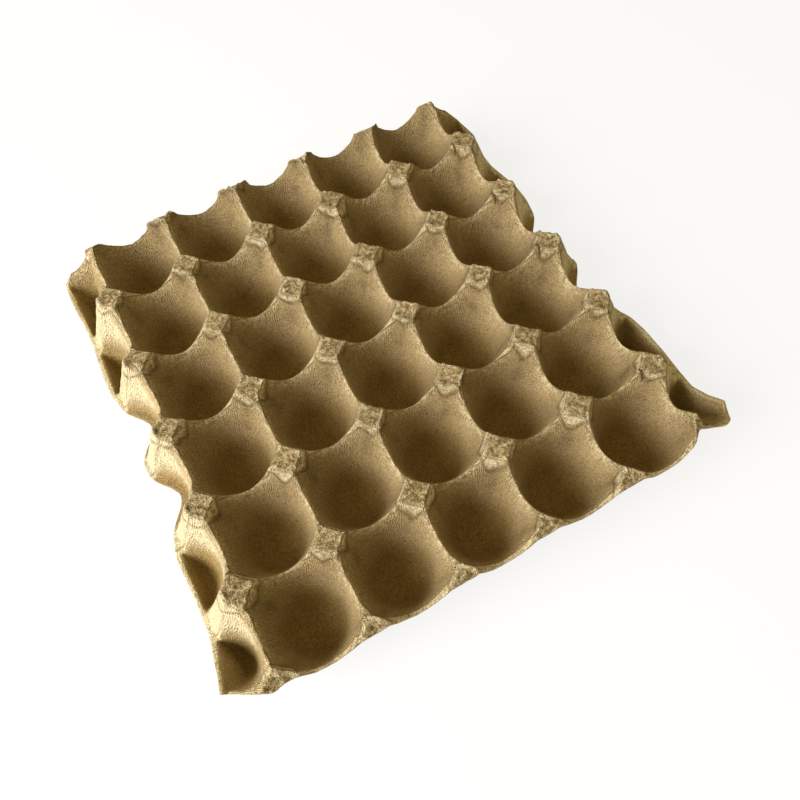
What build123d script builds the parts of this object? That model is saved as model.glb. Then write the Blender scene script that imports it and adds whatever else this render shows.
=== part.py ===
from build123d import *
import os
from math import atan2, cos, degrees, radians, sqrt, tan

# One moulded pulp egg tray with its cups facing up, in millimetres.
# X runs across the columns of cups, Y along the rows towards the far edge, Z up from the cup undersides.

# Grid of cups
pitch = 49.0
columns = 5
rows = 6
wall = 2.0

# Cups: leaning walls in narrow flats, all but round, then a sloping band down to a level floor
cup_depth = 46.5
cup_mouth = 28.8
wall_lean = 18.0
band_rise = 4.5
band_run = 6.2
flats = 16

# The ridge between two cups dips in a saddle
ridge_dip = 14.0
ridge_run = 16.0

# Half posts on the two end edges lean down towards the edge
end_run = 4.5
end_drop = 4.0

# Side flanges: leaning post faces, a brim, half pockets, and finger notches in the middle
shoulder = 5.9
face_lean = 23.0
brim_drop = 34.3
brim_reach = 26.0
pocket_foot = 18.6
notches = 2
notch_lip = 4.3
notch_rise = 1.1
notch_run = 1.5
lobe_round = 5.0

# End corners: a crest falls from the corner half post to the side
corner_start = 1.8
ridge_cover = 7.0
far_corner_drop = 26.0
near_corner_drop = 15.0

# Sizes that follow
height = cup_depth + wall
brim_level = height - brim_drop
half_x = columns * pitch / 2
half_y = rows * pitch / 2
side_x = half_x + pitch / 2
edge_x = half_x + brim_reach
wall_slope = tan(radians(wall_lean))
wall_set = 1 / cos(radians(wall_lean))
face_slope = tan(radians(face_lean))
face_set = 1 / cos(radians(face_lean))
end_slope = end_drop / end_run
end_set = sqrt(1 + end_slope**2)
saddle_radius = (ridge_run**2 + ridge_dip**2) / (2 * ridge_dip)
saddle_level = height - ridge_dip + saddle_radius
over = pitch / 4
top = height + over
outside_x = side_x + pitch
outside_y = half_y + pitch

# Middles of the cells, and the cells beside the last cups: notches in the middle, pockets on the rest
cell_x = [(i - (columns - 1) / 2) * pitch for i in range(columns)]
cell_y = [(j - (rows - 1) / 2) * pitch for j in range(rows)]
first_notch = (rows - notches) // 2
notch_y = cell_y[first_notch : first_notch + notches]
pocket_y = [y for y in cell_y if y not in notch_y]
notch_cells = [(x, y) for x in (side_x, -side_x) for y in notch_y]


def cone_radius(level, skin):
    """Radius of a cup's wall at a level, its surface set back by skin."""
    return cup_mouth - (height - level) * wall_slope + skin * wall_set


def round_of_flats(reach):
    """Polygon whose flats lie at a reach from its middle, one of them square on to each neighbour."""
    return RegularPolygon(reach, flats, major_radius=False, rotation=180 / flats)


def leaning_ring(low, high, low_reach, high_reach):
    """Solid between two levels with flats all round, whose reach changes evenly from the lower to the upper."""
    lean = degrees(atan2(high_reach - low_reach, high - low))
    with BuildPart() as ring:
        with BuildSketch(Plane.XY.offset(low)):
            round_of_flats(low_reach)
        extrude(amount=high - low)
        draft(ring.faces().filter_by(Axis.Z, reverse=True), Plane.XY.offset(low), -lean)
    return ring.part


def cup_hollow(floor, rise, run, skin):
    """Hollow from above the posts down to a floor, with a sloping band between wall and floor."""
    low = floor - skin
    foot = cone_radius(floor + rise, 0) - run + skin * (sqrt(rise**2 + run**2) - run) / rise
    meet = low + (cone_radius(low, skin) - foot) / (run / rise - wall_slope)
    with BuildPart() as hollow:
        add(leaning_ring(low, meet, foot, cone_radius(meet, skin)))
        add(leaning_ring(meet, top, cone_radius(meet, skin), cone_radius(top, skin)))
    return hollow.part


def pocket_hollow(skin):
    """A cup's hollow whose outer half is closed by a low leaning wall."""
    foot = half_x + pocket_foot - side_x + skin * wall_set
    with BuildPart() as hollow:
        add(cup_hollow(wall, band_rise, band_run, skin))
        with BuildSketch(Plane.XZ):
            with BuildLine():
                Polyline(
                    (foot - (wall + over) * wall_slope, -over),
                    (foot + (top - wall) * wall_slope, top),
                    (-pitch, top),
                    (-pitch, -over),
                    close=True,
                )
            make_face()
        extrude(amount=pitch, both=True, mode=Mode.INTERSECT)
    return hollow.part


def end_cut(skin):
    """Space above the sloping half posts of the far edge."""
    start = half_y - end_run - skin * end_set / end_slope
    with BuildPart() as space:
        with BuildSketch(Plane.YZ):
            with BuildLine():
                Polyline(
                    (start - over / end_slope, top),
                    (outside_y, top),
                    (outside_y, height - (outside_y - start) * end_slope),
                    close=True,
                )
            make_face()
        extrude(amount=outside_x, both=True)
    return space.part


def face_cut(skin):
    """Space outside the leaning faces of the last posts, down to the brim."""
    start = half_x + shoulder - skin * face_set
    level = brim_level - skin
    with BuildPart() as space:
        with BuildSketch(Plane.XZ):
            with BuildLine():
                Polyline(
                    (start - over * face_slope, top),
                    (start + (height - level) * face_slope, level),
                    (outside_x, level),
                    (outside_x, top),
                    close=True,
                )
            make_face()
        extrude(amount=half_y - pitch / 2, both=True)
    return space.part


def corner_cut(side, end, drop, skin):
    """Space above the crest of one corner, between the last pocket's middle and past the end edge."""
    start = half_x - corner_start
    lower = skin * end_set
    inner = (height - ridge_cover, brim_level)
    edge = (height, height - drop)
    outer = (2 * edge[0] - inner[0], 2 * edge[1] - inner[1])
    sections = ((half_y - pitch / 2, inner), (half_y + pitch / 2, outer))
    with BuildPart() as space:
        for y, (first, last) in sections:
            fall = (first - last) / (edge_x - start)
            with BuildSketch(Plane.XZ.offset(-end * y)):
                with BuildLine():
                    Polyline(
                        (side * start, top + over),
                        (side * start, first - lower),
                        (side * outside_x, first - lower - (outside_x - start) * fall),
                        (side * outside_x, top + over),
                        close=True,
                    )
                make_face()
        loft(ruled=True)
    return space.part


def under_skin(skin):
    """Everything below the tray's top surface, with that surface set back by skin."""
    cup = cup_hollow(wall, band_rise, band_run, skin)
    pocket = pocket_hollow(skin)
    notch = cup_hollow(brim_level, notch_rise, notch_run, skin)
    with BuildPart() as core:
        with Locations((0, 0, height - skin)):
            Box(
                2 * (edge_x + over + skin),
                2 * (half_y + over + skin),
                height + over,
                align=(Align.CENTER, Align.CENTER, Align.MAX),
            )
        for turn in (0, 180):
            add(end_cut(skin), rotation=(0, 0, turn), mode=Mode.SUBTRACT)
            add(face_cut(skin), rotation=(0, 0, turn), mode=Mode.SUBTRACT)
        for side in (1, -1):
            add(corner_cut(side, 1, far_corner_drop, skin), mode=Mode.SUBTRACT)
            add(corner_cut(side, -1, near_corner_drop, skin), mode=Mode.SUBTRACT)
        with GridLocations(pitch, pitch, columns, rows):
            add(cup, mode=Mode.SUBTRACT)
        for side, turn in ((side_x, 0), (-side_x, 180)):
            with Locations(*[Location((side, y, 0), (0, 0, turn)) for y in pocket_y]):
                add(pocket, mode=Mode.SUBTRACT)
        with Locations(*notch_cells):
            add(notch, mode=Mode.SUBTRACT)
    return core.part


# Bars that cut the saddles, lying across the ridges in both directions
with BuildPart() as saddles:
    with BuildSketch(Plane.YZ):
        with Locations(*[(y, saddle_level) for y in cell_y]):
            round_of_flats(saddle_radius)
    extrude(amount=outside_x, both=True)
    with BuildSketch(Plane.XZ):
        with Locations(*[(x, saddle_level) for x in cell_x]):
            round_of_flats(saddle_radius)
    extrude(amount=outside_y, both=True)

# Plan outline, with the finger notches in both sides
with BuildSketch() as outline:
    Rectangle(2 * edge_x, 2 * half_y)
    with Locations(*notch_cells):
        Circle(cone_radius(brim_level, 0) - notch_lip, mode=Mode.SUBTRACT)
    fillet([v for v in outline.vertices() if abs(v.Y) < half_y - wall], lobe_round)

# The tray is what lies between its top surface and the same surface set back by the wall
with BuildPart() as egg_tray:
    add(under_skin(0))
    add(saddles, mode=Mode.SUBTRACT)
    add(under_skin(wall), mode=Mode.SUBTRACT)
    extrude(outline.sketch, amount=top, mode=Mode.INTERSECT)

egg_tray.part.label = "egg_tray"
os.makedirs("parts", exist_ok=True)
export_step(egg_tray.part, "parts/egg_tray.step")
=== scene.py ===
import math

import bpy
import numpy as np
from mathutils import Matrix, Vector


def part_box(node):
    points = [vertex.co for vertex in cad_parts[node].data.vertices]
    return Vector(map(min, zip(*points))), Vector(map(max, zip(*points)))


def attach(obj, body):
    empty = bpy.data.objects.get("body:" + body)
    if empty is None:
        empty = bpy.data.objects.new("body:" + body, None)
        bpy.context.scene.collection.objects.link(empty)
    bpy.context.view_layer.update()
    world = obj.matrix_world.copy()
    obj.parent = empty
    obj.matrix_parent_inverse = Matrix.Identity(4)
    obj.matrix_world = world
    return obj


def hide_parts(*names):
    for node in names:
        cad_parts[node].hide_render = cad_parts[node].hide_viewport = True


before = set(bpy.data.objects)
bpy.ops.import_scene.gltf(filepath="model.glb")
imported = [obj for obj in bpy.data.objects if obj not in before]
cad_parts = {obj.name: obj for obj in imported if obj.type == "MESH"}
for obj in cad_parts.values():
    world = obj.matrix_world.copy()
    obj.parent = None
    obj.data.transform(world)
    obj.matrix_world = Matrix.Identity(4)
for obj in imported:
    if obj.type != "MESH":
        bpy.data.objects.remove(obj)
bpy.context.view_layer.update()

# The tray's own units: one pitch between cup middles, heights down from the post tops
COLUMNS = 5
ROWS = 6
LOW, HIGH = (np.array(corner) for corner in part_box("egg_tray"))
PITCH = (HIGH[1] - LOW[1]) / ROWS
POST_TOP = HIGH[2]
HALF_X = COLUMNS / 2
HALF_Y = ROWS / 2
EDGE_X = (HIGH[0] - LOW[0]) / 2 / PITCH
MILLIMETRES = PITCH * 1000
TINY = 1e-6

# Sheet: its wall, the least wall anywhere, the wall that shows at the end edges, and its surface's ripple
# Ripple, lumps and outline, here and below, hold what lumps() takes: height, size and kind
WALL = 0.002 / PITCH
THIN_WALL = 0.75 * WALL
EDGE_WALL = 1.25 * WALL
EDGE_RUN = 0.06
TOP_GAP = 0.001
RIPPLE = (0.004, 0.45, 0)

# Cups: radius of the mouth, lean of the wall, depth, and how far the wall blends into the floor
MOUTH = 0.582
SLOPE = 3.08
DEPTH = POST_TOP / PITCH - WALL
FLOOR_BLEND = 0.34
WALL_SET = math.sqrt(1 + 1 / SLOPE**2)

# How softly two surfaces meet
RIDGE_SOFT = 0.042
POCKET_SOFT = 0.012
BRIM_SOFT = 0.008
NUB_SOFT = 0.004
SADDLE_SOFT = 0.005
JOIN_SOFT = 0.008

# Saddles, which run from a post's shoulder down the ridges and end beside the last posts
SHOULDER = 0.030
SADDLE = 0.225
SADDLE_FROM = 0.13
SADDLE_POWER = 1.7
SADDLE_LUMPS = (0.005, 0.14, 1)
SADDLE_END = 0.10
SADDLE_END_RUN = 0.15

# Nubs on the posts: four-cornered, with an uneven outline, a lumpy top, a dish, and a pit to one side
NUB = 0.190
NUB_POWER = 1.3
NUB_SIDE = 4.0
NUB_DROP = 0.014
NUB_OUTLINE = (0.13, 0.20, 2)
NUB_LUMPS = (0.036, 0.09, 3)
DISH = 0.060
DISH_REACH = 0.85
PIT = 0.075
PIT_SIZE = 0.062
PIT_OFF = (-0.045, 0.040)
PIT_SHIFT = 0.3

# Half posts, which slope down to the end edges and are torn there, more so at the near edge
END_RUN = 0.10
END_SLOPE = 0.9
END_DROP = 0.03
END_DROP_RUN = 0.3
TORN_AT = 0.16
TORN_RUN = 0.12
TORN_NEAR = 0.022
TORN_FAR = 0.010
TORN_LUMPS = (1.0, 0.09, 0)

# Outer faces of the last posts: two bulges with a crease between them
FACE_START = 2.615
FACE_SLOPE = 2.36
FACE_LUMPS = (0.010, 0.16, 1)
BULGE_OUT = 0.02
BULGE_AT = 0.12
BULGE_REACH = 0.2
BULGE_ROUND = 0.6
CREASE_AT = -0.07
CREASE_DEEP = 0.018
CREASE_WIDE = 0.022

# Brims and their plan outline: nearly straight beside the pockets, lobed round the two notches of each side
BRIM = -0.68
WALL_TOP_X = 2.968
LOBE_X = 2.965
NOTCH_AT = 0.5
NOTCH_IN = 0.235
NOTCH_HALF = 0.44
LOBES_END = 0.85
LOBES_RUN = 0.35
EDGE_WAVE = 0.006
EDGE_WAVE_TURN = 5.1
ROUND_RUN = 0.24

# Crests of the end corners, which fall from the corner half posts to the side
CREST_START = 2.47
CREST_LONG = 0.5
CREST_BLEND = 0.02
CREST_SINK = 0.16
CREST_SINK_RUN = 0.45
CREST_SET = 1.3

# What differs from corner to corner, by side and end: the pocket's mouth, how much wider it is towards the
# end and beside the end post, the height that its floor ramps up to at the end edge, how much the corner is
# rounded off, the rim's height at distances from the end, and how far the end edge draws in at distances
# from the middle
CORNERS = ((-1, 1), (1, 1), (-1, -1), (1, -1))
CORNER_MOUTH = dict(zip(CORNERS, (MOUTH, MOUTH, 0.560, 0.575)))
END_MOUTH = dict(zip(CORNERS, (0.035, 0.040, -0.010, -0.020)))
END_WIDE = dict(zip(CORNERS, (0.110, 0.090, 0.0, 0.125)))
WIDE_FROM = 0.50
WIDE_RUN = 0.28
BESIDE_RUN = 0.4
NO_RAMP = -9.0
RAMP_HEIGHT = dict(zip(CORNERS, (NO_RAMP, NO_RAMP, NO_RAMP, -0.245)))
RAMP_SLOPE = 1.25
CORNER_ROUND = dict(zip(CORNERS, (0.010, 0.010, 0.0, 0.018)))
RIM_AT = (0.00, 0.20, 0.45, 0.70, 0.95, 1.25, 1.60, 2.00)
RIM_HEIGHT = dict(zip(CORNERS, (
    (-0.60, -0.60, -0.63, -0.73, -0.76, -0.72, -0.68, -0.68),
    (-0.70, -0.67, -0.63, -0.78, -0.80, -0.74, -0.68, -0.68),
    (-0.20, -0.35, -0.46, -0.60, -0.78, -0.76, -0.68, -0.68),
    (-0.43, -0.28, -0.46, -0.60, -0.60, -0.56, -0.56, -0.66),
)))
LEAN_FROM = 2.15
LEAN_RUN = 0.85
LEAN_AT = (2.20, 2.35, 2.48, 2.58, 2.68, 2.80, 2.92, 3.03)
CORNER_LEAN = dict(zip(CORNERS, (
    (0.0,) * 8,
    (0.0,) * 8,
    (0.0, 0.03, 0.02, 0.00, 0.04, 0.11, 0.19, 0.24),
    (0.0, 0.04, 0.15, 0.16, 0.12, 0.09, 0.095, 0.14),
)))

random = np.random.default_rng(7)


def jitter(shape, size):
    """Seeded even spread of numbers within plus or minus size."""
    return random.uniform(-size, size, shape)


# One entry per cup, and for a ring of cells round the grid: its columns are the side pockets and notches, and
# its rows lie past the end edges
CELLS = (COLUMNS + 2, ROWS + 2)
POSTS = (COLUMNS + 1, ROWS + 1)
CUP_X = np.arange(-1, COLUMNS + 1)[:, None] - HALF_X + 0.5 + jitter(CELLS, 0.008)
CUP_Y = np.arange(-1, ROWS + 1)[None, :] - HALF_Y + 0.5 + jitter(CELLS, 0.008)
CUP_MOUTH = MOUTH + jitter(CELLS, 0.005)
CUP_X[0], CUP_X[-1] = -HALF_X - 0.5, HALF_X + 0.5
for (side, end), mouth in CORNER_MOUTH.items():
    column = 0 if side < 0 else -1
    for row in ((0, 1) if end < 0 else (-1, -2)):
        CUP_MOUTH[column, row] = mouth

# One entry per post; the half post at the far left is small, low and tilted
POST_DROP = np.abs(jitter(POSTS, 0.014))
POST_TILT = jitter(POSTS + (2,), 0.10)
POST_SIZE = 1 + jitter(POSTS, 0.12)
CREASE_SHIFT = jitter(POSTS, 0.025)
POST_DROP[0, ROWS] = 0.07
POST_SIZE[0, ROWS] = 0.60
POST_TILT[0, ROWS, 0] = -0.35

# Four kinds of lumps, each a sum of waves with directions in space, of which the plan shows two parts
KINDS = 4
WAVE_COUNT = 24
WAVE_TURN = 4
WAVE_CALM = 7
WAVES = random.normal(0, 1, (KINDS, WAVE_COUNT, 3))[..., :2]
PHASES = random.uniform(0, 2 * math.pi, (KINDS, WAVE_COUNT))


def lumps(x, y, height, size, kind):
    """Sum of sine waves in random directions, about one wave to a length of size, mostly within height."""
    phase = np.multiply.outer(x, WAVES[kind, :, 0]) + np.multiply.outer(y, WAVES[kind, :, 1])
    return height * (np.sin(phase * (WAVE_TURN / size) + PHASES[kind]).sum(-1) / WAVE_CALM)


def smooth_step(t):
    """Three t squared less two t cubed, held to 0 and 1 outside the range."""
    t = np.clip(t, 0, 1)
    return t * t * (3 - 2 * t)


def near_end(y, run):
    """Smooth step from 0 at a run before the end edges to 1 at the edges."""
    return smooth_step((np.abs(y) - HALF_Y + run) / run)


def soft_min(values, soft):
    """Least of the values, rounded where two come close: minus soft times the log of their summed powers."""
    stack = np.stack(np.broadcast_arrays(*values))
    least = stack.min(0)
    return least - soft * np.log(np.exp((least - stack) / soft).sum(0))


def soft_max(a, b, soft):
    """Greater of two values, rounded in the same way."""
    return -soft_min([-a, -b], soft)


def bell(distance, size):
    """The power of e to minus the square of distance over size."""
    return np.exp(-((distance / size) ** 2))


def by_corner(table, x, y):
    """The table's value for the corner that each point is nearest to."""
    near = np.where(x < 0, table[(-1, -1)], table[(1, -1)])
    far = np.where(x < 0, table[(-1, 1)], table[(1, 1)])
    return np.where(y < 0, near, far)


def curve_by_corner(at, tables, where, x, y):
    """By corner too, from tables of heights or shifts that are read between the places in at."""
    return by_corner({corner: np.interp(where, at, values) for corner, values in tables.items()}, x, y)


def nearest_post(x, y):
    """Column and row of the post that each point is nearest to."""
    px = np.clip(np.round(x + HALF_X), 0, COLUMNS).astype(int)
    py = np.clip(np.round(y + HALF_Y), 0, ROWS).astype(int)
    return px, py


def cone(x, y, i, j, back):
    """Height over a cup: a leaning wall, its slope times the distance in from the mouth, and a level floor.

    The two meet in a quadratic blend. The mouth of a corner pocket changes towards the end edge, by the sine
    of the direction from its middle, and more so beside the end post.
    """
    dx, dy = x - CUP_X[i, j], y - CUP_Y[i, j]
    radius = np.hypot(dx, dy)
    corner = ((i == 0) | (i == COLUMNS + 1)) & ((j == 1) | (j == ROWS))
    towards_end = smooth_step((dy * np.sign(y) / np.maximum(radius, TINY) - WIDE_FROM) / WIDE_RUN)
    beside = np.clip((HALF_X + 0.5 - np.abs(x)) / BESIDE_RUN, 0, 1)
    wider = by_corner(END_MOUTH, x, y) + by_corner(END_WIDE, x, y) * beside
    mouth = CUP_MOUTH[i, j] + corner * towards_end * wider
    wall = -(mouth + back * WALL_SET - radius) * SLOPE
    floor = -DEPTH - back
    mix = np.clip(0.5 + 0.5 * (wall - floor) / FLOOR_BLEND, 0, 1)
    return floor * (1 - mix) + wall * mix + FLOOR_BLEND * mix * (1 - mix)


def nub_share(x, y, px, py):
    """How far out on a post's nub each point lies: 0 in its middle, 1 on its uneven outline.

    It is the root of the sum of the two distances, each to the nub's power, over the nub's own reach.
    """
    dx, dy = x - (px - HALF_X), y - (py - HALF_Y)
    reach = (np.abs(dx) ** NUB_POWER + np.abs(dy) ** NUB_POWER) ** (1 / NUB_POWER)
    return reach / (NUB * POST_SIZE[px, py] * (1 + lumps(x, y, *NUB_OUTLINE)))


def post_limit(x, y, px, py):
    """Upper limit of the skin round a post: the greater of saddles and nub, less what the end edges lose.

    A saddle falls by one less a power of the share of the way that is left. The nub's top is a tilted plane
    less a round dish and a bell-shaped pit, plus lumps, and its sides fall straight from its outline.
    """
    dx, dy = x - (px - HALF_X), y - (py - HALF_Y)
    run = np.maximum(np.abs(dx), np.abs(dy))
    share = np.clip((run - SADDLE_FROM) / (0.5 - SADDLE_FROM), 0, 1)
    saddle = -SHOULDER - SADDLE * (1 - (1 - share) ** SADDLE_POWER) + lumps(x, y, *SADDLE_LUMPS)
    saddle = saddle + smooth_step((np.abs(x) - HALF_X - SADDLE_END) / SADDLE_END_RUN)

    share = nub_share(x, y, px, py)
    tilt_x, tilt_y = POST_TILT[px, py, 0], POST_TILT[px, py, 1]
    top = -NUB_DROP - POST_DROP[px, py] + tilt_x * dx + tilt_y * dy
    top = top - DISH * np.clip(1 - (share / DISH_REACH) ** 2, 0, 1) + lumps(x, y, *NUB_LUMPS)
    pit = np.hypot(dx - PIT_OFF[0] - PIT_SHIFT * tilt_x, dy - PIT_OFF[1] - PIT_SHIFT * tilt_y)
    top = top - PIT * bell(pit, PIT_SIZE)
    nub = soft_min([top, -(share - 1) * NUB * NUB_SIDE], NUB_SOFT)

    lost = END_SLOPE * np.clip(np.abs(y) - (HALF_Y - END_RUN), 0, None) + END_DROP * near_end(y, END_DROP_RUN)
    torn = smooth_step((np.abs(y) - HALF_Y + TORN_AT) / TORN_RUN) * np.where(y < 0, TORN_NEAR, TORN_FAR)
    return soft_max(saddle, nub, SADDLE_SOFT) - lost + torn * lumps(x, y, *TORN_LUMPS)


def face_height(x, y, px, py):
    """Outer face of a post: a slope down from a start that two parabolas bulge and a bell creases."""
    away = y - (py - HALF_Y) - CREASE_AT - CREASE_SHIFT[px, py]
    bulge = BULGE_ROUND * np.minimum(np.abs(away) - BULGE_AT, BULGE_REACH) ** 2
    start = FACE_START + BULGE_OUT - bulge - CREASE_DEEP * bell(away, CREASE_WIDE)
    return -(np.abs(x) - start) * FACE_SLOPE + lumps(x, y, *FACE_LUMPS)


def layers(x, y, back=0.0):
    """The three surfaces that the skin is the least of: cups, post limit, and outer face with its brim.

    Each is set back at right angles to its own slope. A pocket is the greater of its cone and a leaning outer
    wall or ramp, and a notch the greater of its cone and the brim.
    """
    px, py = nearest_post(x, y)
    across, along = np.abs(x), np.abs(y)
    rim = curve_by_corner(RIM_AT, RIM_HEIGHT, HALF_Y - along, x, y)
    foot = WALL_TOP_X - (rim + DEPTH) / SLOPE
    outer_wall = -DEPTH + (across - foot) * SLOPE - back * (1 + SLOPE * WALL_SET)
    ramp = by_corner(RAMP_HEIGHT, x, y) - (HALF_Y - along) * RAMP_SLOPE - back * math.hypot(1, RAMP_SLOPE)
    cups = []
    for i in (px, px + 1):
        for j in (py, py + 1):
            cup = cone(x, y, i, j, back)
            pocket = (i == 0) | (i == COLUMNS + 1)
            notch = np.abs(CUP_Y[i, j]) < 2 * NOTCH_AT
            hold = np.where(notch, BRIM - back, np.maximum(outer_wall, ramp))
            cups.append(np.where(pocket, soft_max(cup, hold, POCKET_SOFT), cup))

    sunk = rim - CREST_SINK * smooth_step((HALF_Y - along) / CREST_SINK_RUN)
    crest = sunk * (across - CREST_START) / (EDGE_X - CREST_START)
    ending = smooth_step((along - (HALF_Y - CREST_LONG)) / CREST_BLEND)
    face = crest * ending + face_height(x, y, px, py) * (1 - ending)
    face = face - back * np.where(ending > 0.5, CREST_SET, math.hypot(1, FACE_SLOPE))
    base = soft_max(face, rim - back, BRIM_SOFT)
    return soft_min(cups, RIDGE_SOFT), post_limit(x, y, px, py) - back, base


def skin(x, y, back=0.0):
    """Height of the moulded skin over the plan point, set back by a wall's thickness for the underside."""
    ripple = lumps(x, y, *RIPPLE) * (back == 0)
    return np.minimum(soft_min(layers(x, y, back), JOIN_SOFT) + ripple, -TOP_GAP - back)


def underside(x, y):
    """Height of the lower skin, a thin wall or more below the top, and drawn up towards it at the ends."""
    top = skin(x, y)
    low = np.minimum(skin(x, y, WALL), top - THIN_WALL)
    return low + (np.maximum(low, top - EDGE_WALL) - low) * near_end(y, EDGE_RUN)


# Measures that the material reads at each point of the skin, and what they are on the underside and cut edges
LOOKS = ("deep", "outer", "crest", "nub", "lip", "fold", "ridge")
# On the underside, a depth of 0.35 brings in some of the cups' painted shade
UNDER_LOOK = (0.35, 0.0, 0.0, 2.0, -1.0, 1.0, 0.0)
CUT_LOOK = (0.0, 0.4, 1.0, 2.0, -1.0, 1.0, 0.0)
DEEP_FROM = 0.38
DEEP_RUN = 0.55
FLANK_FROM = 0.03
FLANK_RUN = 0.08
FLANK_FOOT = 0.66
FLANK_FADE = 0.25
OUTER_END = 0.42
OUTER_FADE = 0.20
FACE_FADE = 0.03
FACE_MORE = 0.3
CREST_FADE = 0.025
CREST_MORE = 0.2
LIP_REACH = 0.05
RIDGE_WIDE = 0.040


def looks(x, y, z, up):
    """Measures for the material at each point.

    Deep, outer, crest and ridge say from 0 to 1 how deep in a cup, how much on an outer face, how much on a
    post and how near a ridge line a point lies. Nub is 1 on a post's outline, lip is 0 where a ridge's saddle
    meets the cup wall, and fold is the distance from the crease down an outer face.
    """
    if not up:
        return np.broadcast_to(UNDER_LOOK, z.shape + (len(LOOKS),))
    px, py = nearest_post(x, y)
    cups, posts, faces = layers(x, y)
    deep = smooth_step((-z - DEEP_FROM) / DEEP_RUN)
    on_face = smooth_step((np.minimum(cups, posts) - faces) / FACE_FADE + FACE_MORE)
    flank = smooth_step((np.abs(x) - HALF_X - FLANK_FROM) / FLANK_RUN)
    flank = flank * smooth_step((z + FLANK_FOOT) / FLANK_FADE)
    outer = np.maximum(on_face, flank) * smooth_step((HALF_Y - OUTER_END - np.abs(y)) / OUTER_FADE)
    on_post = smooth_step((np.minimum(cups, faces) - posts) / CREST_FADE + CREST_MORE)
    crest = np.maximum(on_post, on_face * (1 - outer))
    away = y - (py - HALF_Y) - CREASE_AT - CREASE_SHIFT[px, py]
    fold = np.where(outer > 0.5, np.abs(away), 1.0)
    lip = np.clip((cups - posts) / LIP_REACH, -1, 1)
    off = np.minimum(np.abs(x - (px - HALF_X)), np.abs(y - (py - HALF_Y)))
    ridge = bell(off, RIDGE_WIDE) * (1 - outer)
    return np.stack([deep * (1 - outer), outer, crest, nub_share(x, y, px, py), lip, fold, ridge], -1)


def outer_x(side, y):
    """Plan outline of a side: a slow sine wave, a cosine's hollow at each notch, and rounded corners."""
    from_notch = np.abs(np.abs(y) - NOTCH_AT)
    notch = NOTCH_IN * 0.5 * (1 + np.cos(math.pi * np.clip(from_notch / NOTCH_HALF, 0, 1)))
    straight = EDGE_X - EDGE_WAVE + EDGE_WAVE * np.sin(EDGE_WAVE_TURN * y)
    blend = smooth_step((np.abs(y) - LOBES_END) / LOBES_RUN)
    rounding = by_corner(CORNER_ROUND, side + 0 * y, y) * near_end(y, ROUND_RUN) ** 2
    return side * (LOBE_X - notch + (straight - LOBE_X) * blend - rounding)


def place(x, y, z):
    """Points in metres, after the near corners' end edges have drawn in by their tables of leans."""
    lean = curve_by_corner(LEAN_AT, CORNER_LEAN, np.abs(x), x, y)
    y = y - np.sign(y) * lean * smooth_step((np.abs(y) - LEAN_FROM) / LEAN_RUN)
    return np.stack([x * PITCH, y * PITCH, POST_TOP + z * PITCH], -1)


# Grids of a cell: rings out to a circle and on to the square, finer on top than below, closer near the posts,
# then the number of mesh marks round a cup, and the distance in metres within which points are joined
FINE = 26
FINE_INNER = (0.12, 0.22, 0.26, 0.29, 0.325, 0.365, 0.405, 0.44, 0.455)
FINE_OUTER = (0.10, 0.20, 0.29, 0.37, 0.44, 0.50, 0.57, 0.65, 0.73, 0.80, 0.87, 0.94, 1.0)
FINE_ACROSS = 28
COARSE = 13
COARSE_INNER = (0.15, 0.25, 0.30, 0.37, 0.44)
COARSE_OUTER = (0.29, 0.50, 0.73, 1.0)
COARSE_ACROSS = 14
CROWD = 0.45
MARKS_ROUND = 150
WELD = 1e-5


def steps(count):
    """Places along a cell's side from -0.5 up to 0.5, the last one left out: even ones, moved by a sine."""
    even = np.arange(count) / count - 0.5
    return even + CROWD * np.sin(2 * math.pi * even) / (2 * math.pi)


def line(cells, count):
    """The same places along a whole edge of so many cells."""
    inside = (np.arange(cells)[:, None] - cells / 2 + 0.5 + steps(count)).ravel()
    return np.append(inside, cells / 2)


def cell_grid(i, j, count, inner, outer):
    """Plan points of one cell: its middle, then rings that open from circles into the cell's square edge."""
    step = steps(count)
    half = np.full(count, 0.5)
    edge_x = np.concatenate([step, half, -step, -half])
    edge_y = np.concatenate([-half, step, half, -step])
    reach = np.hypot(edge_x, edge_y)
    circles = np.array((0.0,) + inner)[:, None] * np.ones_like(reach)
    squares = inner[-1] + np.array(outer)[:, None] * (reach - inner[-1])
    radius = np.concatenate([circles, squares])
    return i + 0.5 - HALF_X + radius * edge_x / reach, j + 0.5 - HALF_Y + radius * edge_y / reach


class Patches:
    """Collects grids of points and faces, with measures round and down the skin for the faces' corners."""

    def __init__(self):
        self.points, self.faces, self.uvs, self.looks = [], [], [], []
        self.count = 0

    def add(self, points, faces, uv, look, turned):
        if turned:
            faces, uv = faces[:, ::-1], uv[:, ::-1]
        self.points.append(points.reshape(-1, 3))
        self.faces.append(faces + self.count)
        self.uvs.append(uv)
        self.looks.append(look.reshape(-1, len(LOOKS)))
        self.count += self.points[-1].shape[0]

    def joined(self):
        return [np.concatenate(part) for part in (self.points, self.faces, self.uvs, self.looks)]


def grid_faces(rows, columns, wrap):
    """Four corner numbers of each square of a grid, row by row, closed round when wrap is set."""
    across = np.arange(columns if wrap else columns - 1)
    a = np.arange(rows - 1)[:, None] * columns + across
    b = np.arange(rows - 1)[:, None] * columns + (across + 1) % columns
    return np.stack([a, b, b + columns, a + columns], -1).reshape(-1, 4)


def grid_uv(u, v):
    """The four corners' measures of each square of a grid."""
    pair = np.stack(np.broadcast_arrays(u, v), -1)
    corners = [pair[:-1, :-1], pair[:-1, 1:], pair[1:, 1:], pair[1:, :-1]]
    return np.stack(corners, 2).reshape(-1, 4, 2)


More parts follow.
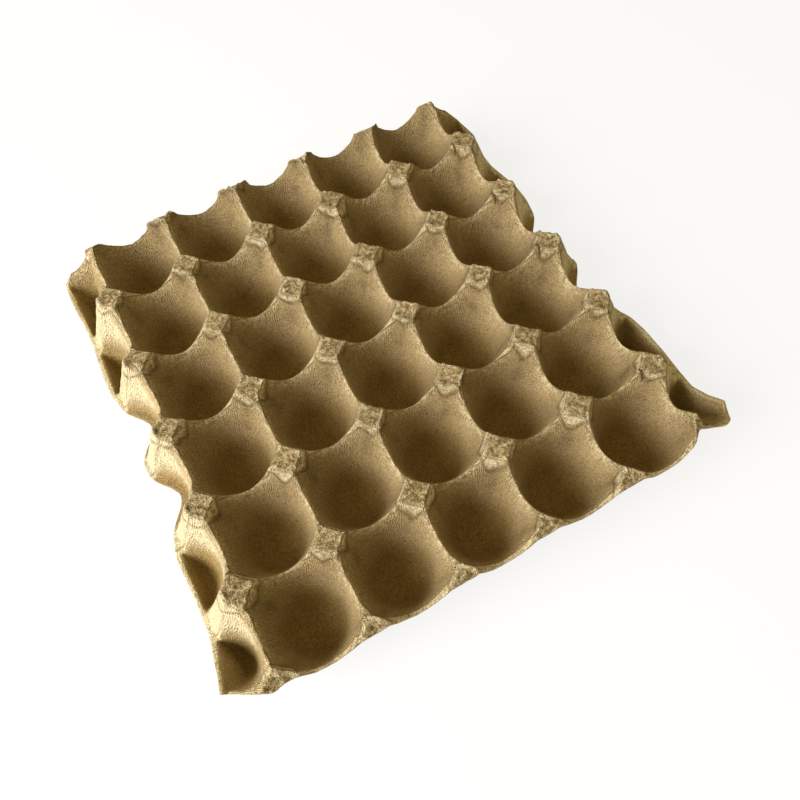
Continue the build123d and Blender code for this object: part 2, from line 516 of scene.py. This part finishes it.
def add_cup(patches, i, j, height, count, inner, outer, up):
    """One cup with its share of ridges and posts, as a fan of rings from the middle of the floor."""
    x, y = cell_grid(i, j, count, inner, outer)
    z = height(x, y)
    turn = np.arange(x.shape[1] + 1) / x.shape[1] * MARKS_ROUND
    slant = np.hypot(np.hypot(np.diff(x, axis=0), np.diff(y, axis=0)), np.diff(z, axis=0))
    down = np.concatenate([[0], np.cumsum(slant.mean(1))]) * MILLIMETRES
    uv = grid_uv(turn[None, :], down[:, None])
    patches.add(place(x, y, z), grid_faces(*x.shape, True), uv, looks(x, y, z, up), up)


def add_side(patches, side, height, count, across, up):
    """One side flange from the last line of posts out to its edge."""
    y = line(ROWS, count)[:, None]
    share = np.linspace(0, 1, across + 1)[None, :]
    x = side * HALF_X + share * (outer_x(side, y) - side * HALF_X)
    y = np.broadcast_to(y, x.shape)
    z = height(x, y)
    uv = grid_uv(y * MILLIMETRES, -z * MILLIMETRES)
    patches.add(place(x, y, z), grid_faces(*x.shape, False), uv, looks(x, y, z, up), (side < 0) == up)


def add_edge(patches, x, y, turned):
    """The cut edge along a line of plan points: fine points on top, every other one on the underside.

    The faces are triangles whose last corner is named twice.
    """
    top = place(x, y, skin(x, y))
    low = place(x[::2], y[::2], underside(x[::2], y[::2]))
    n = len(low) - 1
    t = 2 * np.arange(n)
    b = len(top) + np.arange(n)
    strips = ((t, t + 1, b), (t + 1, b + 1, b), (t + 1, t + 2, b + 1))
    three = np.concatenate([np.stack(strip, -1) for strip in strips])
    faces = np.concatenate([three, three[:, -1:]], 1)
    look = np.broadcast_to(CUT_LOOK, (len(top) + len(low), len(LOOKS)))
    patches.add(np.concatenate([top, low]), faces, np.zeros((len(faces), 4, 2)), look, turned)


def tray_patches():
    """The whole tray: cups above and below, side flanges above and below, and the cut edge all round."""
    patches = Patches()
    for i in range(COLUMNS):
        for j in range(ROWS):
            add_cup(patches, i, j, skin, FINE, FINE_INNER, FINE_OUTER, True)
            add_cup(patches, i, j, underside, COARSE, COARSE_INNER, COARSE_OUTER, False)
    along = line(ROWS, FINE)
    share = np.linspace(0, 1, FINE_ACROSS + 1)
    for side in (-1, 1):
        add_side(patches, side, skin, FINE, FINE_ACROSS, True)
        add_side(patches, side, underside, COARSE, COARSE_ACROSS, False)
        add_edge(patches, outer_x(side, along), along, side > 0)
        for end in (-1, 1):
            y = np.full(share.size, end * HALF_Y)
            x = side * HALF_X + share * (outer_x(side, y) - side * HALF_X)
            add_edge(patches, x, y, side * end < 0)
    for end in (-1, 1):
        x = line(COLUMNS, FINE)
        add_edge(patches, x, np.full(x.size, end * HALF_Y), end < 0)
    return patches


def weld(points, faces, uv, look):
    """Joins points that round to the same hundredth of a millimetre, and drops corners that fall together."""
    keys = np.round(points / WELD).astype(np.int64)
    _, first, again = np.unique(keys, axis=0, return_index=True, return_inverse=True)
    faces = again.reshape(-1)[faces]
    fresh = faces != np.roll(faces, 1, axis=1)
    solid = fresh.sum(1) >= 3
    return points[first], faces[solid], uv[solid], look[first], fresh[solid]


def make_piece(name, points, faces, uv, look, keep):
    """A mesh from arrays of points, faces of three or four corners, corner measures and looks."""
    mesh = bpy.data.meshes.new(name)
    sizes = keep.sum(1)
    corners = faces[keep]
    mesh.vertices.add(len(points))
    mesh.vertices.foreach_set("co", points.astype(np.float32).ravel())
    mesh.loops.add(len(corners))
    mesh.loops.foreach_set("vertex_index", corners.astype(np.int32))
    mesh.polygons.add(len(sizes))
    mesh.polygons.foreach_set("loop_start", (np.cumsum(sizes) - sizes).astype(np.int32))
    layer = mesh.uv_layers.new(name="skin")
    layer.data.foreach_set("uv", uv[keep].astype(np.float32).ravel())
    for column, attribute in enumerate(LOOKS):
        values = mesh.attributes.new(attribute, "FLOAT", "POINT")
        values.data.foreach_set("value", look[:, column].astype(np.float32))
    mesh.update(calc_edges=True)
    mesh.validate()
    mesh.shade_smooth()
    piece = bpy.data.objects.new(name, mesh)
    bpy.context.scene.collection.objects.link(piece)
    return piece


tray = make_piece("tray", *weld(*tray_patches().joined()))
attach(tray, "root")
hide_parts("egg_tray")


class Paint:
    """Short ways to add and join shader nodes."""

    def __init__(self, name):
        self.material = bpy.data.materials.new(name)
        self.material.use_nodes = True
        self.nodes, self.links = self.material.node_tree.nodes, self.material.node_tree.links
        self.shader = self.nodes["Principled BSDF"]
        self.place = self.node("ShaderNodeTexCoord").outputs["Object"]

    def node(self, kind, sources=(), **settings):
        made = self.nodes.new(kind)
        for key, value in settings.items():
            setattr(made, key, value)
        for socket, source in sources:
            self.feed(made.inputs[socket], source)
        return made

    def feed(self, socket, source):
        if isinstance(source, (int, float, tuple)):
            socket.default_value = source
        else:
            self.links.new(source, socket)

    def attribute(self, name):
        return self.node("ShaderNodeAttribute", attribute_name=name).outputs["Fac"]

    def math(self, operation, a, b=0.0, clamp=False):
        return self.node("ShaderNodeMath", ((0, a), (1, b)), operation=operation, use_clamp=clamp).outputs[0]

    def times(self, a, b):
        return self.math("MULTIPLY", a, b)

    def plus(self, a, b):
        return self.math("ADD", a, b)

    def apart(self, a, b):
        return self.math("ABSOLUTE", self.math("SUBTRACT", a, b))

    def noise(self, scale, detail, rough):
        sources = [("Vector", self.place), ("Scale", scale), ("Detail", detail), ("Roughness", rough)]
        return self.node("ShaderNodeTexNoise", sources).outputs["Fac"]

    def range(self, value, low, high, to_low=0.0, to_high=1.0):
        sources = [("Value", value), ("From Min", low), ("From Max", high)]
        sources += [("To Min", to_low), ("To Max", to_high)]
        return self.node("ShaderNodeMapRange", sources).outputs[0]

    def mix(self, share, a, b):
        sources = [(0, share), (6, a), (7, b)]
        return self.node("ShaderNodeMix", sources, data_type="RGBA").outputs[2]

    def scale_colour(self, colour, factor):
        sources = [(0, 1.0), (6, colour), (7, factor)]
        return self.node("ShaderNodeMix", sources, data_type="RGBA", blend_type="MULTIPLY").outputs[2]


# Colours of the pulp, with painted shade and painted light among them
WALL_TAN = (0.385, 0.288, 0.150, 1)
# Painted shade: a darker, more saturated brown deep in the cups
DEEP_SHADE_BROWN = (0.320, 0.218, 0.080, 1)
# Paler post tops and end crests: partly the rough pulp, partly painted light
CREST_TAN_PARTLY_LIT = (0.590, 0.465, 0.255, 1)
# Painted shade in the middle of each post's nub
NUB_SHADE_BROWN = (0.225, 0.158, 0.070, 1)
# Painted light: a pale cream on the outer faces of the last posts
OUTER_LIT_CREAM = (0.720, 0.630, 0.420, 1)
# Painted highlight along the ridge lines and round the nub rims
RIDGE_HIGHLIGHT = (0.700, 0.600, 0.400, 1)
SPECK = (0.110, 0.070, 0.030, 1)
FIBRE = (0.620, 0.530, 0.350, 1)
# Painted shade in the creases, and the colour of the real slits
CREASE_SHADE_AND_SLIT_DARK = (0.130, 0.090, 0.040, 1)
PULP_ROUGH = 0.92
PULP_SHINE = 0.12

# Noises of the pulp: scale to the metre, detail and roughness
MOTTLE = (420.0, 4.0, 0.70)
GRAIN = (1300.0, 2.0, 0.60)
MARK_CLOUDS = (70.0, 2.0, 0.60)
WANDER = (160.0, 2.0, 0.55)
CLOUDS = (45.0, 3.0, 0.55)
SPECKS = (700.0, 1.0, 0.55)
FIBRES = (900.0, 2.0, 0.55)

# Mesh marks: how far they wander, their spacing down the skin, and where they show, as ranges from and to
MARK_WANDER = (0.0, 1.0, -1.6, 1.6)
MARK_DOWN = 1.2
MARK_DOWN_SHARE = 0.5
MARK_PATCHES = (0.40, 0.60)
MARK_BY_POST = (1.2, 2.6, 0.8, 0.0)
MARK_BY_DEPTH = (0.0, 0.35, 1.0, 0.20)

# Slits beside the posts of the last column: their width in metres, the rest in pitches
SLIT_FROM_POST = 0.17
SLIT_WIDE = (0.0004, 0.0009, 1.0, 0.0)
SLIT_LONG = (0.045, 0.060, 1.0, 0.0)
SLIT_SHIFT = -0.02
SLIT_MISSING_AT = -1.08
SLIT_MISSING_REACH = 0.3
SLITS_END = 2.3

# Strengths and ranges of the colours, painted shade and highlights among them, and of the dark lines of
# painted shade
CLOUD_DEEP = (0.3, 0.7, -0.12, 0.12)
DEEP_POWER = 1.7
RIDGE_MOTTLE = (0.40, 0.56)
RIDGE_SHARE = 0.75
NUB_MIDDLE = (0.55, 0.95, 1.0, 0.0)
NUB_MOTTLE = (0.38, 0.60, 1.0, 0.15)
NUB_SHARE = 0.95
RIM_OF_NUB = 0.86
RIM_WIDE = (0.06, 0.18, 1.0, 0.0)
RIM_MOTTLE = (0.38, 0.50)
NUB_LINE = 1.06
NUB_LINE_WIDE = (0.0, 0.10, 1.0, 0.0)
LIP_WIDE = (0.0, 0.55, 1.0, 0.0)
LIP_SHARE = 0.9
FOLD_WIDE = (0.0, 0.022, 1.0, 0.0)
LINE_MOTTLE = (0.36, 0.54)
LINE_SHARE = 0.80

# Strengths of the shading that mottle, grain and marks give, of the specks and fibres, and of the relief
MOTTLE_SHADE = 0.60
MOTTLE_SHADE_ROUGH = 0.50
GRAIN_SHADE = 2.1
MARK_SHADE = 0.08
SPECK_RANGE = (0.68, 0.74)
SPECK_SHARE = 0.65
FIBRE_RANGE = (0.64, 0.74)
FIBRE_EVERYWHERE = 0.2
FIBRE_SHARE = 0.6
RELIEF = 0.0014
MOTTLE_RELIEF = 0.45
CREST_RELIEF = 1.6
GRAIN_RELIEF = 1.1
MARK_RELIEF = 0.10
LINE_RELIEF = 0.35


def slits(paint):
    """Mask of the short dark slits pressed in beside all but one of the whole posts in the last column."""
    where = paint.node("ShaderNodeSeparateXYZ", ((0, paint.place),))
    across = paint.apart(where.outputs[0], (HALF_X - SLIT_FROM_POST) * PITCH)
    along = paint.math("DIVIDE", where.outputs[1], PITCH)
    turns = paint.math("FRACT", paint.plus(along, 0.5 - SLIT_SHIFT))
    thin = paint.range(across, *SLIT_WIDE)
    short = paint.range(paint.apart(turns, 0.5), *SLIT_LONG)
    kept = paint.math("GREATER_THAN", paint.apart(along, SLIT_MISSING_AT), SLIT_MISSING_REACH)
    inside = paint.math("LESS_THAN", paint.math("ABSOLUTE", along), SLITS_END)
    return paint.times(paint.times(thin, short), paint.times(kept, inside))


def mesh_marks(paint, deep, nub):
    """Marks of the mould's wire mesh: a sine of the measure round the skin and a weaker one of that down it.

    They wander, show in patches and near posts, and fade in the depth of a cup.
    """
    wander = paint.range(paint.noise(*WANDER), *MARK_WANDER)
    measures = paint.node("ShaderNodeUVMap", uv_map="skin").outputs[0]
    measures = paint.node("ShaderNodeSeparateXYZ", ((0, measures),))
    turn = paint.times(paint.plus(measures.outputs[0], wander), 2 * math.pi)
    fall = paint.times(paint.plus(measures.outputs[1], wander), 2 * math.pi / MARK_DOWN)
    marks = paint.plus(paint.math("SINE", turn), paint.times(paint.math("SINE", fall), MARK_DOWN_SHARE))
    shown = paint.range(paint.noise(*MARK_CLOUDS), *MARK_PATCHES)
    shown = paint.plus(shown, paint.range(nub, *MARK_BY_POST))
    return paint.times(marks, paint.times(shown, paint.range(deep, *MARK_BY_DEPTH)))


def crease_shade_lines(paint, nub, lip, fold, mottle):
    """Thin lines of painted shade round the nubs, below the saddles and down the outer faces, broken by
    mottle.
    """
    round_nub = paint.range(paint.apart(nub, NUB_LINE), *NUB_LINE_WIDE)
    below_lip = paint.times(paint.range(paint.math("ABSOLUTE", lip), *LIP_WIDE), LIP_SHARE)
    down_face = paint.range(fold, *FOLD_WIDE)
    lines = paint.math("MAXIMUM", paint.math("MAXIMUM", round_nub, below_lip), down_face)
    return paint.times(lines, paint.range(mottle, *LINE_MOTTLE))


def pulp_material():
    """Dry moulded pulp: tan walls, browner in the cups as painted shade, outer faces and ridges pale as
    painted light, and rough posts whose paler tops are partly painted light.

    Colours are mixed by the measures of the skin, with painted shade in the nub middles and creases and a
    painted highlight round the nub rims, then shaded by mottle, grain and mesh marks, and the same three make
    the relief.
    """
    paint = Paint("pulp")
    deep, outer, crest, nub, lip, fold, ridge = (paint.attribute(name) for name in LOOKS)
    mottle = paint.noise(*MOTTLE)
    grain = paint.noise(*GRAIN)
    marks = mesh_marks(paint, deep, nub)
    # Painted shade in the creases, also cut into the relief as grooves
    dark = crease_shade_lines(paint, nub, lip, fold, mottle)
    rough = paint.math("MAXIMUM", outer, crest)

    # Colours by place, with painted shade and painted light among them
    # Painted shade deep in the cups, its upper edge broken up by clouds
    cloud = paint.range(paint.noise(*CLOUDS), *CLOUD_DEEP)
    deep_shade = paint.math("POWER", paint.math("ADD", deep, cloud, clamp=True), DEEP_POWER)
    colour = paint.mix(deep_shade, WALL_TAN, DEEP_SHADE_BROWN)
    # Paler posts and crests, partly painted light
    colour = paint.mix(crest, colour, CREST_TAN_PARTLY_LIT)
    # Painted highlight along the ridge lines
    pale = paint.times(ridge, paint.range(mottle, *RIDGE_MOTTLE))
    colour = paint.mix(paint.times(pale, RIDGE_SHARE), colour, RIDGE_HIGHLIGHT)
    # Painted light on the outer faces
    colour = paint.mix(outer, colour, OUTER_LIT_CREAM)
    # Painted shade in the middle of each nub
    middle = paint.times(paint.range(nub, *NUB_MIDDLE), paint.range(mottle, *NUB_MOTTLE))
    colour = paint.mix(paint.times(middle, NUB_SHARE), colour, NUB_SHADE_BROWN)
    # Painted highlight round the nub's rim
    rim = paint.times(paint.range(paint.apart(nub, RIM_OF_NUB), *RIM_WIDE), paint.range(mottle, *RIM_MOTTLE))
    colour = paint.mix(rim, colour, RIDGE_HIGHLIGHT)
    # Painted shade in the creases
    colour = paint.mix(paint.times(dark, LINE_SHARE), colour, CREASE_SHADE_AND_SLIT_DARK)
    colour = paint.mix(slits(paint), colour, CREASE_SHADE_AND_SLIT_DARK)

    # Shading, specks and fibres
    strength = paint.plus(paint.times(rough, MOTTLE_SHADE_ROUGH), MOTTLE_SHADE)
    shade = paint.plus(1.0, paint.times(paint.math("SUBTRACT", mottle, 0.5), strength))
    shade = paint.plus(shade, paint.times(paint.math("SUBTRACT", grain, 0.5), GRAIN_SHADE))
    colour = paint.scale_colour(colour, paint.plus(shade, paint.times(marks, MARK_SHADE)))
    specks = paint.range(paint.noise(*SPECKS), *SPECK_RANGE)
    colour = paint.mix(paint.times(specks, SPECK_SHARE), colour, SPECK)
    fibres = paint.times(paint.range(paint.noise(*FIBRES), *FIBRE_RANGE), paint.plus(rough, FIBRE_EVERYWHERE))
    colour = paint.mix(paint.times(fibres, FIBRE_SHARE), colour, FIBRE)
    paint.feed(paint.shader.inputs["Base Color"], colour)
    paint.feed(paint.shader.inputs["Roughness"], PULP_ROUGH)
    paint.feed(paint.shader.inputs["Specular IOR Level"], PULP_SHINE)

    # Relief
    relief = paint.plus(paint.plus(MOTTLE_RELIEF, outer), paint.times(crest, CREST_RELIEF))
    relief = paint.plus(paint.times(mottle, relief), paint.times(grain, GRAIN_RELIEF))
    relief = paint.plus(relief, paint.times(marks, MARK_RELIEF))
    relief = paint.math("SUBTRACT", relief, paint.times(dark, LINE_RELIEF))
    bump = paint.node("ShaderNodeBump", (("Strength", 1.0), ("Distance", RELIEF), ("Height", relief)))
    paint.feed(paint.shader.inputs["Normal"], bump.outputs[0])
    return paint.material


tray.data.materials.append(pulp_material())

# Floor: pale, and to the camera mostly white near the tray, where its shadow shows, and all white far away
FLOOR_HALF = 6
FLOOR_COLOUR = (0.84, 0.88, 0.96, 1)
FLOOR_ROUGH = 1.0
FLOOR_WHITE = (0.7, 2.0, 0.80, 1.0)


def floor_material():
    """Pale floor that the camera sees mixed with white by its distance from the tray."""
    paint = Paint("floor")
    paint.feed(paint.shader.inputs["Base Color"], FLOOR_COLOUR)
    paint.feed(paint.shader.inputs["Roughness"], FLOOR_ROUGH)
    seen = paint.node("ShaderNodeLightPath").outputs["Is Camera Ray"]
    away = paint.node("ShaderNodeVectorMath", ((0, paint.place),), operation="LENGTH").outputs["Value"]
    white = paint.node("ShaderNodeEmission").outputs[0]
    share = paint.times(seen, paint.range(away, *FLOOR_WHITE))
    blend = paint.node("ShaderNodeMixShader", ((0, share), (1, paint.shader.outputs[0]), (2, white)))
    paint.feed(paint.nodes["Material Output"].inputs["Surface"], blend.outputs[0])
    return paint.material


floor_mesh = bpy.data.meshes.new("floor")
floor_corners = [(-1, -1), (1, -1), (1, 1), (-1, 1)]
floor_mesh.from_pydata([(FLOOR_HALF * x, FLOOR_HALF * y, 0) for x, y in floor_corners], [], [(0, 1, 2, 3)])
floor_mesh.materials.append(floor_material())
floor = bpy.data.objects.new("floor", floor_mesh)
bpy.context.scene.collection.objects.link(floor)

# Room: warm light from all round, and a white backdrop for the camera
ROOM_COLOUR = (1.0, 0.81, 0.42, 1)
ROOM_STRENGTH = 0.56
BACKDROP = (1, 1, 1, 1)
world = bpy.data.worlds.new("room")
bpy.context.scene.world = world
world.use_nodes = True
nodes, links = world.node_tree.nodes, world.node_tree.links
nodes["Background"].inputs[0].default_value = ROOM_COLOUR
nodes["Background"].inputs[1].default_value = ROOM_STRENGTH
backdrop = nodes.new("ShaderNodeBackground")
backdrop.inputs[0].default_value = BACKDROP
either = nodes.new("ShaderNodeMixShader")
links.new(nodes.new("ShaderNodeLightPath").outputs["Is Camera Ray"], either.inputs[0])
links.new(nodes["Background"].outputs[0], either.inputs[1])
links.new(backdrop.outputs[0], either.inputs[2])
links.new(either.outputs[0], nodes["World Output"].inputs["Surface"])

# Lamp: a soft disk low on the left
LAMP_AZIMUTH = math.radians(186)
LAMP_HEIGHT = math.radians(31)
LAMP_DISTANCE = 1.4
LAMP_SIZE = 1.0
LAMP_POWER = 33
LAMP_COLOUR = (1.0, 0.97, 0.92)
lamp_data = bpy.data.lights.new("window_side", "AREA")
lamp_data.shape = "DISK"
lamp_data.size = LAMP_SIZE
lamp_data.energy = LAMP_POWER
lamp_data.color = LAMP_COLOUR
lamp = bpy.data.objects.new("window_side", lamp_data)
level = LAMP_DISTANCE * math.cos(LAMP_HEIGHT)
lamp.location = (
    level * math.cos(LAMP_AZIMUTH),
    level * math.sin(LAMP_AZIMUTH),
    LAMP_DISTANCE * math.sin(LAMP_HEIGHT),
)
lamp.rotation_euler = lamp.location.to_track_quat("Z", "Y").to_euler()
bpy.context.scene.collection.objects.link(lamp)

# The photograph's camera, found from the rows of post tops: its place in pitches and its three directions
CAMERA_AT = np.array([-1.501, -4.195, 6.756])
CAMERA_RIGHT = (0.87527, -0.48112, -0.04928)
CAMERA_DOWN = (-0.44859, -0.76954, -0.4545)
CAMERA_AHEAD = (0.18075, 0.41992, -0.88938)
SENSOR = 36
LENS = 31.5
camera_data = bpy.data.cameras.new("camera")
camera_data.sensor_width = SENSOR
camera_data.lens = LENS
camera = bpy.data.objects.new("camera", camera_data)
camera_turn = Matrix([[CAMERA_RIGHT[k], -CAMERA_DOWN[k], -CAMERA_AHEAD[k]] for k in range(3)])
camera_place = CAMERA_AT * PITCH + np.array([0, 0, POST_TOP])
camera.matrix_world = Matrix.Translation(tuple(camera_place)) @ camera_turn.to_4x4()
bpy.context.scene.collection.objects.link(camera)
bpy.context.scene.camera = camera

bpy.context.scene.view_settings.view_transform = "Standard"
